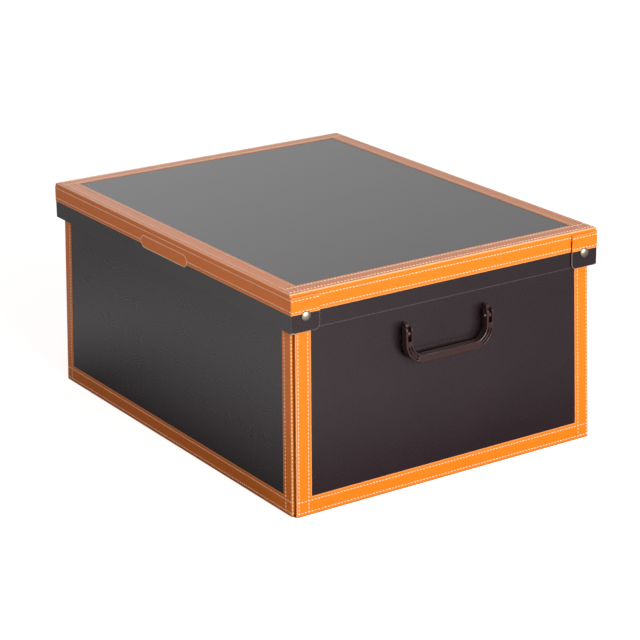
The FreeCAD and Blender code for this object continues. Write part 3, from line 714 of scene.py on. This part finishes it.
def stitch_tree():
    """Rows of stitches along a piece's edges. Each stitch lies along its row and stands up along
    the row's stored facing; its ends dip into the leather."""
    made = Wiring(bpy.data.node_groups.new("stitch_rows", "GeometryNodeTree"))
    sockets = made.tree.interface
    for name, kind, default in (
        ("Rows", "Geometry", None), ("Pitch", "Float", None), ("Length", "Float", None),
        ("Thread", "Float", None), ("Sides", "Int", None), ("Unevenness", "Float", 0.06),
        ("Seed", "Int", 11), ("Material", "Material", None),
    ):
        socket = sockets.new_socket(name=name, in_out="INPUT", socket_type=f"NodeSocket{kind}")
        if default is not None:
            socket.default_value = default
    sockets.new_socket(name="Stitches", in_out="OUTPUT", socket_type="NodeSocketGeometry")
    given = made.add("NodeGroupInput").outputs

    rows = made.add("GeometryNodeMeshToCurve", {"Mesh": given["Rows"]})
    spaced = made.add("GeometryNodeResampleCurve", {
        "Curve": rows.outputs["Curve"], "Length": given["Pitch"]}, mode="LENGTH")
    ball = made.add("GeometryNodeMeshUVSphere", {
        "Segments": given["Sides"], "Rings": 4, "Radius": 0.5})
    size = made.add("ShaderNodeCombineXYZ", {
        "X": given["Thread"], "Y": given["Thread"], "Z": given["Length"]})
    stitch = made.add("GeometryNodeTransform", {
        "Geometry": ball.outputs["Mesh"], "Scale": size.outputs["Vector"]})

    facing = made.add("GeometryNodeInputNamedAttribute", {"Name": "facing"},
                      data_type="FLOAT_VECTOR")
    tangent = made.add("GeometryNodeInputTangent")
    along = made.add("FunctionNodeAlignRotationToVector", {
        "Vector": tangent.outputs["Tangent"]}, axis="Z")
    stood = made.add("FunctionNodeAlignRotationToVector", {
        "Rotation": along.outputs["Rotation"], "Vector": facing.outputs["Attribute"]},
        axis="X", pivot_axis="Z")

    least = made.work("SUBTRACT", 1.0, given["Unevenness"])
    most = made.work("ADD", 1.0, given["Unevenness"])
    wobble = made.add("FunctionNodeRandomValue", {2: least, 3: most, "Seed": given["Seed"]},
                      data_type="FLOAT")
    placed = made.add("GeometryNodeInstanceOnPoints", {
        "Points": spaced.outputs["Curve"], "Instance": stitch.outputs["Geometry"],
        "Rotation": stood.outputs["Rotation"], "Scale": wobble.outputs[1]})
    real = made.add("GeometryNodeRealizeInstances", {"Geometry": placed.outputs["Instances"]})
    coloured = made.add("GeometryNodeSetMaterial", {
        "Geometry": real.outputs["Geometry"], "Material": given["Material"]})
    made.add("NodeGroupOutput", {"Stitches": coloured.outputs["Geometry"]})
    return made.tree


def row(place, start, end, lift):
    """One straight row of stitches: its two ends and the way that it faces."""
    facing = (place.to_3x3() @ Vector((0, 0, 1))).normalized()
    return place @ Vector((*start, lift)), place @ Vector((*end, lift)), facing


def sew(body, rows, settings, tree):
    """One mesh of stitches for a body, made from its rows."""
    mesh = bpy.data.meshes.new(f"{body}_rows")
    points = [point for start, end, _ in rows for point in (start, end)]
    mesh.from_pydata(points, [(2 * i, 2 * i + 1) for i in range(len(rows))], [])
    facing = mesh.attributes.new("facing", "FLOAT_VECTOR", "POINT")
    for i, (_, _, out) in enumerate(rows):
        facing.data[2 * i].vector = out
        facing.data[2 * i + 1].vector = out
    guide = add_object(f"{body}_rows", mesh)
    modifier = guide.modifiers.new("stitches", "NODES")
    modifier.node_group = tree
    sockets = {item.name: item.identifier for item in tree.interface.items_tree
               if item.item_type == "SOCKET" and item.in_out == "INPUT"}
    for name, value in (("Pitch", settings.pitch), ("Length", settings.run),
                        ("Thread", settings.thread), ("Sides", settings.sides),
                        ("Material", finish_of("thread"))):
        modifier[sockets[name]] = value
    sewn = settled_mesh(guide, layers=False)
    bpy.data.objects.remove(guide)
    if not sewn.polygons:
        raise RuntimeError(f"{body} has no stitches")
    sewn.name = f"{body}_stitches"
    for polygon in sewn.polygons:
        polygon.use_smooth = True
    piece = add_object(sewn.name, sewn)
    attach(piece, body)


class BOX_OT_stitches(bpy.types.Operator):
    """Sews two rows of stitches along every band"""
    bl_idname = "storage_box.stitches"
    bl_label = "Stitches"

    def execute(self, context):
        settings, band = context.scene.box_stitch, context.scene.box_band
        lift = band.field * GROOVE + settings.thread * THREAD_RISE
        tree = stitch_tree()
        sew("box", self.body_rows(settings, band, lift), settings, tree)
        sew("lid", self.lid_rows(settings, lift), settings, tree)
        for label, turn, sign in tab_labels():
            place = wall_frame(turn, TAB_FACE)
            start, end = sign * (TAB_FREE + TAB_ROW_START), sign * (LID_WIDTH - ROW_END)
            rows = [row(place, (start, height), (end, height), lift)
                    for height in (BAND_FOOT + settings.near_row - TAB_DROP,
                                   BAND_FOOT + settings.far_row - TAB_DROP)]
            sew(label, rows, settings, tree)
        return {"FINISHED"}

    def body_rows(self, settings, band, lift):
        rows = []
        lean = math.sin(LEAN)
        low, high = WALL_FOOT + settings.near_row, WALL_FOOT + settings.far_row
        for _, turn, half, distance, top, wrap in walls(band):
            place = wall_frame(turn, distance, LEAN)
            inner = half - (band.width - wrap) + settings.near_row
            outer = half - END_ROW
            for sign in (-1, 1):
                for line in (inner, outer) if wrap == BOARD else (inner,):
                    start = (sign * (line - low * lean), low)
                    end = (sign * (line - top * lean), top - ROW_TOP)
                    rows.append(row(place, start, end, lift))
                if wrap != BOARD:
                    rows.append(self.corner_row(place, sign, half, low, top, band))
            for height in (low, high):
                reach = outer - height * lean
                rows.append(row(place, (-reach, height), (reach, height), lift))
        return rows

    def corner_row(self, place, sign, half, low, top, band):
        """The outer row of a long wall's upright band, which lies just round the corner."""
        lean = math.sin(LEAN)
        out, back = band.field * CORNER_RISE, -CORNER_ROW
        start = place @ Vector((sign * (half - low * lean + out), low, back))
        end = place @ Vector((sign * (half - top * lean + out), top - ROW_TOP, back))
        facing = (place.to_3x3() @ Vector((sign, 0, CORNER_TURN))).normalized()
        return start, end, facing

    def lid_rows(self, settings, lift):
        rows = []
        top = Matrix.Translation((0, 0, LID_TOP))
        long, wide = LID_LENGTH - settings.near_row, LID_WIDTH - settings.near_row
        for inset in (settings.near_row, settings.far_row):
            for sign in (-1, 1):
                across = sign * (LID_WIDTH - inset)
                rows.append(row(top, (-long, across), (long, across), lift))
                across = sign * (LID_LENGTH - inset)
                rows.append(row(top, (across, -wide), (across, wide), lift))
        for walls_there, distance, edge in ((SIDE_WALLS, LID_WIDTH, TAB_FACE),
                                            (END_WALLS, LID_LENGTH, TAB_FREE)):
            reach = edge - ROW_END
            for _, turn in walls_there:
                place = wall_frame(turn, distance)
                for height in (BAND_FOOT + settings.near_row, BAND_FOOT + settings.far_row):
                    spans = [(-reach, reach)]
                    if turn == FRONT and height < HIGH["label_patch"].z:
                        beside = HIGH["label_patch"].x + PATCH_GAP
                        spans = [(-reach, -beside), (beside, reach)]
                    rows += [row(place, (start, height), (end, height), lift)
                             for start, end in spans]
        return rows


# The patch's raised edge, as (in from its outline, under its top, share of painted highlight), and
# the outlines of the rubbed spots, from the corner of the leather or of the board. Their lengths
# are in millimetres.
BEAD = ((0.0, 0.2, 1.0), (0.12, 0.06, 1.0), (0.35, 0.0, 1.0), (0.62, 0.06, 1.0), (0.8, 0.2, 0.3),
        (1.1, 0.22, 0.0))
TOP_SPOT = ((0.0, 0.4), (0.0, 3.2), (-0.9, 3.0), (-1.7, 1.3))
FOOT_SPOT = ((0.0, 0.0), (0.0, 0.9), (-1.6, 1.3), (-3.2, 0.9), (-4.4, 0.0))


class BOX_OT_patch(bpy.types.Operator):
    """Lays the bare pill-shaped patch on the front skirt"""
    bl_idname = "storage_box.patch"
    bl_label = "Bare patch"

    def execute(self, context):
        low, high = LOW["label_patch"], HIGH["label_patch"]
        radius = (high.z - low.z) / 2
        half = high.x - radius
        place = wall_frame(FRONT, LID_WIDTH) @ Matrix.Translation((0, (high.z + low.z) / 2, 0))
        shape = bmesh.new()
        rim = rim_layer(shape)
        bottom = -high.y - LID_WIDTH - PATCH_SEAT
        height = -low.y - LID_WIDTH
        section = [(0.0, bottom, 0.3)]
        section += [(inset * MM, height - under * MM, rubbed) for inset, under, rubbed in BEAD]
        rings = []
        for inset, rise, rubbed in section:
            ring = []
            for sign, start in ((1, -90), (-1, 90)):
                for step in range(17):
                    angle = math.radians(start + 180 * step / 16)
                    reach = radius - inset
                    spot = Vector((sign * half + reach * math.cos(angle), reach * math.sin(angle),
                                   rise))
                    vert = shape.verts.new(place @ spot)
                    vert[rim] = rubbed
                    ring.append(vert)
            rings.append(ring)
        # The bead's faces take the pale thread colour: a painted highlight along the patch's raised
        # edge.
        leather, bead = 0, 1
        for first, second, finish in zip(rings[:-1], rings[1:],
                                         (leather, bead, bead, bead, bead, leather)):
            ring_wall(shape, first, second, finish)
        shape.faces.new(rings[-1])
        shape.faces.new(rings[0][::-1])
        tidy(shape)
        piece = new_piece("bare_patch", shape, "lid", ["leatherette", "thread"])
        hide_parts("label_patch")
        return {"FINISHED"}


class BOX_OT_wear(bpy.types.Operator):
    """Shows the bare board where the lid's corners and the tabs' feet are worn through, and paints
    a pale highlight line along the end skirts' feet
    """
    bl_idname = "storage_box.wear"
    bl_label = "Rubbed corners"

    def execute(self, context):
        lid = bmesh.new()
        field = context.scene.box_band.field
        edge, top = LID_WIDTH + field, TAB_TOP + field
        for label, turn, sign in tab_labels():
            place = wall_frame(turn, TAB_FACE)
            outline = [(sign * (edge + x * MM), top + y * MM) for x, y in TOP_SPOT]
            self.chip(lid, place, outline, field - TOP_SPOT_DEPTH)
            foot = bmesh.new()
            outline = [(sign * (LID_WIDTH + x * MM), TAB_FOOT + y * MM) for x, y in FOOT_SPOT]
            self.chip(foot, place, outline, FOOT_SPOT_RISE)
            new_piece(f"{label}_rubbed_foot", foot, label, ["cut_board"])
        # A thin paler line along each end skirt's foot: a painted highlight.
        feet = bmesh.new()
        for end, turn in END_WALLS:
            foot = LOW[f"lid_{end}_skirt"].z
            top = foot + FOOT_LINE
            outline = [(-TAB_FREE, foot), (TAB_FREE, foot), (TAB_FREE, top), (-TAB_FREE, top)]
            self.chip(feet, wall_frame(turn, LID_LENGTH), outline, FOOT_LINE_RISE)
        new_piece("lid_feet_highlight", feet, "lid", ["rubbed_board"])
        new_piece("lid_rubbed_corners", lid, "lid", ["cut_board"])
        return {"FINISHED"}

    def chip(self, shape, place, outline, height):
        """A thin flake with that outline, whose top lies at that height."""
        low, high = ([shape.verts.new(place @ Vector((x, y, z))) for x, y in outline]
                     for z in (height - SPOT_THICKNESS, height))
        ring_wall(shape, low, high)
        shape.faces.new(high)
        shape.faces.new(low[::-1])
        bmesh.ops.recalc_face_normals(shape, faces=shape.faces)


def dome(shape, place, section, unit, sides):
    """A turned cap about the place's z axis. The section's points are (radius, height), from its
    foot to its crown, in that unit."""
    rings = []
    for radius, height in section[:-1]:
        rings.append([shape.verts.new(place @ Vector((
            radius * unit * math.cos(2 * math.pi * i / sides),
            radius * unit * math.sin(2 * math.pi * i / sides), height * unit)))
            for i in range(sides)])
    crown = shape.verts.new(place @ Vector((0, 0, section[-1][1] * unit)))
    for first, second in zip(rings[:-1], rings[1:]):
        ring_wall(shape, first, second)
    for i in range(sides):
        shape.faces.new((rings[-1][i], rings[-1][(i + 1) % sides], crown))
    shape.faces.new(rings[0][::-1])


class BOX_OT_handles(bpy.types.Operator):
    """Rounds and dresses the handles, and dresses their plates and pins"""
    bl_idname = "storage_box.handles"
    bl_label = "Handles"

    def execute(self, context):
        edge = context.scene.box_handle.edge
        for end, _ in END_WALLS:
            for node, title, softness, finish, slot in (
                (f"{end}_handle", "bail", edge, "handle_plastic", "handle_plastic"),
                (f"{end}_handle_plate", "plate", edge / 2, "handle_plastic", "handle_plastic"),
                (f"{end}_handle_pins", "pins", edge * 0.8, "pin_metal", "stud_metal"),
            ):
                shape = merged_copy(node)
                soften(shape, softness, segments=3, angle=40)
                piece = new_piece(f"{end}_{title}", shape, BODY_OF[node], [finish])
                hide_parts(node)
            self.pin_heads(end)
        return {"FINISHED"}

    def pin_heads(self, end):
        """The domed ends of a handle's pins, which show on the arms' inner sides."""
        node = f"{end}_handle_pins"
        middle = (LOW[node] + HIGH[node]) / 2
        radius = (HIGH[node].z - LOW[node].z) / 2
        reach = min(abs(vert.co.y - middle.y) for vert in NODES[node].data.vertices)
        shape = bmesh.new()
        for sign in (-1, 1):
            place = Matrix.Translation((middle.x, middle.y + sign * reach, middle.z))
            place @= Matrix.Rotation(math.radians(90 * sign), 4, "X")
            dome(shape, place, ((0.94, -0.1), (0.94, 0.2), (0.8, 0.42), (0.5, 0.58), (0.0, 0.65)),
                 unit=radius, sides=20)
        tidy(shape)
        new_piece(f"{end}_pin_heads", shape, BODY_OF[node], ["pin_metal"])


class BOX_OT_studs(bpy.types.Operator):
    """Turns the domed caps of the studs, and dresses their sockets and posts"""
    bl_idname = "storage_box.studs"
    bl_label = "Studs"

    def execute(self, context):
        skin = context.scene.box_band.skin
        section = ((2.6, -skin / MM), (2.6, 0.0), (5.2, 0.0), (5.5, 0.15), (5.5, 0.55), (5.3, 0.85),
                   (4.7, 1.2), (3.8, 1.62), (2.7, 1.95), (1.4, 2.14), (0.0, 2.2))
        for label, turn, sign in tab_labels():
            place = wall_frame(turn, TAB_FACE) @ Matrix.Translation((STUD.y * sign, STUD.z, skin))
            shape = bmesh.new()
            dome(shape, place, section, unit=MM, sides=40)
            bmesh.ops.recalc_face_normals(shape, faces=shape.faces)
            piece = new_piece(f"{label}_dome", shape, label, ["stud_metal"])
            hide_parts(f"{label}_stud_cap")
            repaint(f"{label}_stud_socket", "pin_metal")
        repaint("lid_stud_posts", "pin_metal")
        return {"FINISHED"}


# Stage

class BOX_OT_stage(bpy.types.Operator):
    """Sets up the pale floor, the soft lamps and the camera"""
    bl_idname = "storage_box.stage"
    bl_label = "Stage"

    def execute(self, context):
        scene = context.scene
        settings = scene.box_stage
        self.floor(settings)
        self.sky(scene, settings)
        self.lamp("key_lamp", spot=(2.6, 0.3, 0.78), aim=(0.25, 0.0, 0.12), size=(2.4, 1.3),
                  power=settings.key, tint=(1.0, 0.97, 0.95))
        self.lamp("fill_lamp", spot=(0.1, -1.0, 0.85), aim=(0.0, -0.19, 0.16), size=(0.7, 0.7),
                  power=settings.fill, tint=(1.0, 0.62, 0.55))
        data = bpy.data.cameras.new("camera")
        data.sensor_width = 36.0
        data.lens = settings.lens / MM
        data.clip_start = 0.05
        camera = add_object("camera", data)
        camera.location = settings.spot
        camera.rotation_euler = settings.turn
        scene.camera = camera
        scene.view_settings.view_transform = "Standard"
        return {"FINISHED"}

    def floor(self, settings):
        shape = bmesh.new()
        bmesh.ops.create_circle(shape, cap_ends=True, segments=96, radius=9.0)
        mesh = bpy.data.meshes.new("floor")
        shape.to_mesh(mesh)
        shape.free()
        mesh.materials.append(self.floor_material(settings.floor))
        add_object("floor", mesh)

    def floor_material(self, pale):
        """White to the camera but for the box's shadow. Close to the box, except past its right
        end, it carries a painted shadow in the light that it throws back, and the box's gloss sees
        painted shade near the box, to -X and to +Y."""
        made = Finish("floor")
        rays, seen = made.seen_ways()
        split = made.add("ShaderNodeSeparateXYZ", {"Vector": made.place}).outputs
        near = self.footprint_distance(made, split)
        # Painted shadow: close to the box the floor throws back less light, and to glossy rays its
        # base is dark.
        painted_bounce_shade = made.product(rays["Is Diffuse Ray"], made.ramp(near, 0.0, 0.5, 1.0, 0.3),
                               made.ramp(split["X"], 0.18, 0.28, 1.0, 0.0))
        dark = shade(pale, 0.1)
        plain = made.blend(rays["Is Glossy Ray"], made.blend(painted_bounce_shade, pale, dark), dark)
        far = made.add("ShaderNodeVectorMath", {0: made.place}, operation="LENGTH")
        bright = made.ramp(far.outputs["Value"], 0.5, 3.5, 0.74, 0.98)
        # Painted shade in the box's gloss: the floor's glow dims near the box, to -X and to +Y.
        mirrored = made.product(made.ramp(near, 0.02, 0.24, 0.15, 1.0),
                                made.ramp(split["X"], -0.70, -0.20, 0.46, 1.0),
                                made.ramp(split["Y"], 0.0, 0.38, 1.0, 0.42))
        direct = made.work("MAXIMUM", rays["Is Camera Ray"], mirrored)
        white = made.add("ShaderNodeEmission", {"Color": (1.0, 1.0, 1.0, 1.0),
                                                "Strength": made.product(seen, bright, direct)})
        both = made.add("ShaderNodeAddShader", {0: made.surface.outputs[0], 1: white.outputs[0]})
        made.feed(made.output, {"Surface": both.outputs[0]})
        return made.done(Base_Color=plain, Roughness=0.9, Specular_IOR_Level=0.0)

    def footprint_distance(self, made, split):
        """How far a point of the floor is from the box's footprint, which sets where the painted
        shade lies.
        """
        beyond = []
        for axis, low, high in (("X", -0.22, 0.30), ("Y", -0.20, 0.20)):
            off = made.work("ABSOLUTE", made.work("SUBTRACT", split[axis], (low + high) / 2))
            past = made.work("SUBTRACT", off, (high - low) / 2)
            beyond.append(made.work("MAXIMUM", past, 0.0))
        flat = made.add("ShaderNodeCombineXYZ", {"X": beyond[0], "Y": beyond[1]})
        distance = made.add("ShaderNodeVectorMath", {0: flat.outputs["Vector"]}, operation="LENGTH")
        return distance.outputs["Value"]

    def sky(self, scene, settings):
        """Even light, and a white background that grows dimmer to +X in the box's gloss."""
        world = bpy.data.worlds.new("studio")
        world.use_nodes = True
        made = Wiring(world.node_tree)
        rays, seen = made.seen_ways()
        place = made.add("ShaderNodeTexCoord").outputs["Generated"]
        along = made.add("ShaderNodeSeparateXYZ", {"Vector": place}).outputs["X"]
        mirrored = made.product(made.ramp(along, -0.86, -0.74, 1.15, 0.83),
                                made.ramp(along, -0.74, 0.6, 1.0, 0.5))
        shown = made.add("ShaderNodeMix", {0: rays["Is Camera Ray"], 2: mirrored, 3: 1.0})
        level = made.ramp(seen, 0.0, 1.0, settings.sky, shown.outputs[0])
        back = made.add("ShaderNodeBackground", {"Color": (1.0, 1.0, 1.0, 1.0), "Strength": level})
        made.add("ShaderNodeOutputWorld", {"Surface": back.outputs[0]})
        scene.world = world

    def lamp(self, name, spot, aim, size, power, tint):
        data = bpy.data.lights.new(name, "AREA")
        data.shape = "ELLIPSE"
        data.size, data.size_y = size
        data.energy = power
        data.color = tint
        lamp = add_object(name, data)
        lamp.location = spot
        lamp.rotation_euler = (Vector(aim) - Vector(spot)).to_track_quat("-Z", "Y").to_euler()


OPERATORS = (BOX_OT_stage, BOX_OT_boards, BOX_OT_bands, BOX_OT_stitches, BOX_OT_patch,
             BOX_OT_wear, BOX_OT_handles, BOX_OT_studs)


class BOX_PT_panel(bpy.types.Panel):
    """The storage box's pieces and sizes"""
    bl_idname = "BOX_PT_panel"
    bl_label = "Storage box"
    bl_space_type = "VIEW_3D"
    bl_region_type = "UI"
    bl_category = "Storage box"

    def draw(self, context):
        column = self.layout.column()
        for operator in OPERATORS:
            column.operator(operator.bl_idname)
        for name, group in SETTINGS:
            settings = getattr(context.scene, name)
            for field in group.__annotations__:
                column.prop(settings, field)


CLASSES = [*[group for _, group in SETTINGS], *OPERATORS, BOX_PT_panel]


def register():
    for kind in CLASSES:
        bpy.utils.register_class(kind)
    for name, group in SETTINGS:
        setattr(bpy.types.Scene, name, PointerProperty(type=group))


def unregister():
    for name, _ in SETTINGS:
        delattr(bpy.types.Scene, name)
    for kind in reversed(CLASSES):
        bpy.utils.unregister_class(kind)


def main():
    register()
    for operator in OPERATORS:
        area, action = operator.bl_idname.split(".")
        result = getattr(getattr(bpy.ops, area), action)()
        if result != {"FINISHED"}:
            raise RuntimeError(f"{operator.bl_label} did not finish")


if __name__ == "__main__":
    main()
